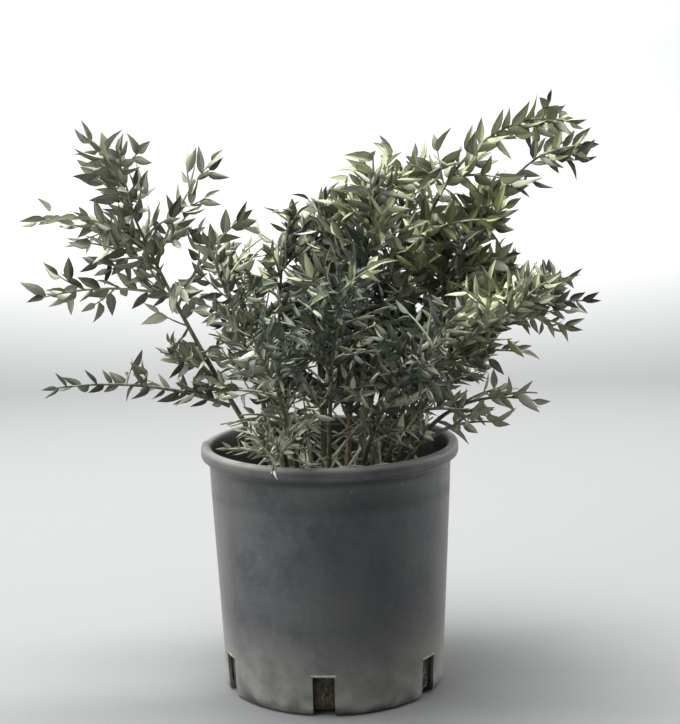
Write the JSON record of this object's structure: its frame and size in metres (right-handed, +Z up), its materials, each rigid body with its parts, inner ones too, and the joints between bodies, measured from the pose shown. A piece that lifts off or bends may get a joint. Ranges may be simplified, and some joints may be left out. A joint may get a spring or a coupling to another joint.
{
  "type": "potted butchers broom",
  "caption": "Clump of stiff green stems with sprays of spine-tipped leaves, in a round tapered nursery pot with a rolled rim and drain notches, filled with potting soil.",
  "frame": {"origin": "centre of the pot's flat underside", "axes": "+Z up along the pot's axis; +X to the right as seen from the front; +Y away from the viewer"},
  "size_m": [0.3862, 0.2862, 0.3949],
  "materials": {
    "pot": "weathered matt grey-black polypropylene with dust and water marks",
    "soil": "dark moist potting soil, granular",
    "stem": "matt dark green, finely grooved lengthwise",
    "foliage": "dull dark green, slightly waxy, with a paler ridge"
  },
  "bodies": {
    "root": {"pot": "pot", "soil": "soil", "stem_back": "stem", "stem_back_high": "stem", "stem_back_left": "stem", "stem_back_right": "stem", "stem_centre": "stem", "stem_centre_left": "stem", "stem_centre_right": "stem", "stem_front": "stem", "stem_front_left": "stem", "stem_front_low": "stem", "stem_front_right": "stem", "stem_left": "stem", "stem_left_inner": "stem", "stem_right": "stem", "stem_right_back": "stem", "stem_right_front": "stem", "stem_right_high": "stem", "stem_right_low": "stem", "stem_right_low_front": "stem", "stem_right_middle": "stem", "stem_top_right": "stem", "foliage_back": "foliage", "foliage_back_high": "foliage", "foliage_back_left": "foliage", "foliage_back_right": "foliage", "foliage_centre": "foliage", "foliage_centre_left": "foliage", "foliage_centre_right": "foliage", "foliage_front": "foliage", "foliage_front_left": "foliage", "foliage_front_low": "foliage", "foliage_front_right": "foliage", "foliage_left": "foliage", "foliage_left_front": "foliage", "foliage_left_inner": "foliage", "foliage_left_low": "foliage", "foliage_right": "foliage", "foliage_right_back": "foliage", "foliage_right_front": "foliage", "foliage_right_high": "foliage", "foliage_right_low": "foliage", "foliage_right_low_front": "foliage", "foliage_right_middle": "foliage", "foliage_top_right": "foliage"}
  },
  "joints": []
}
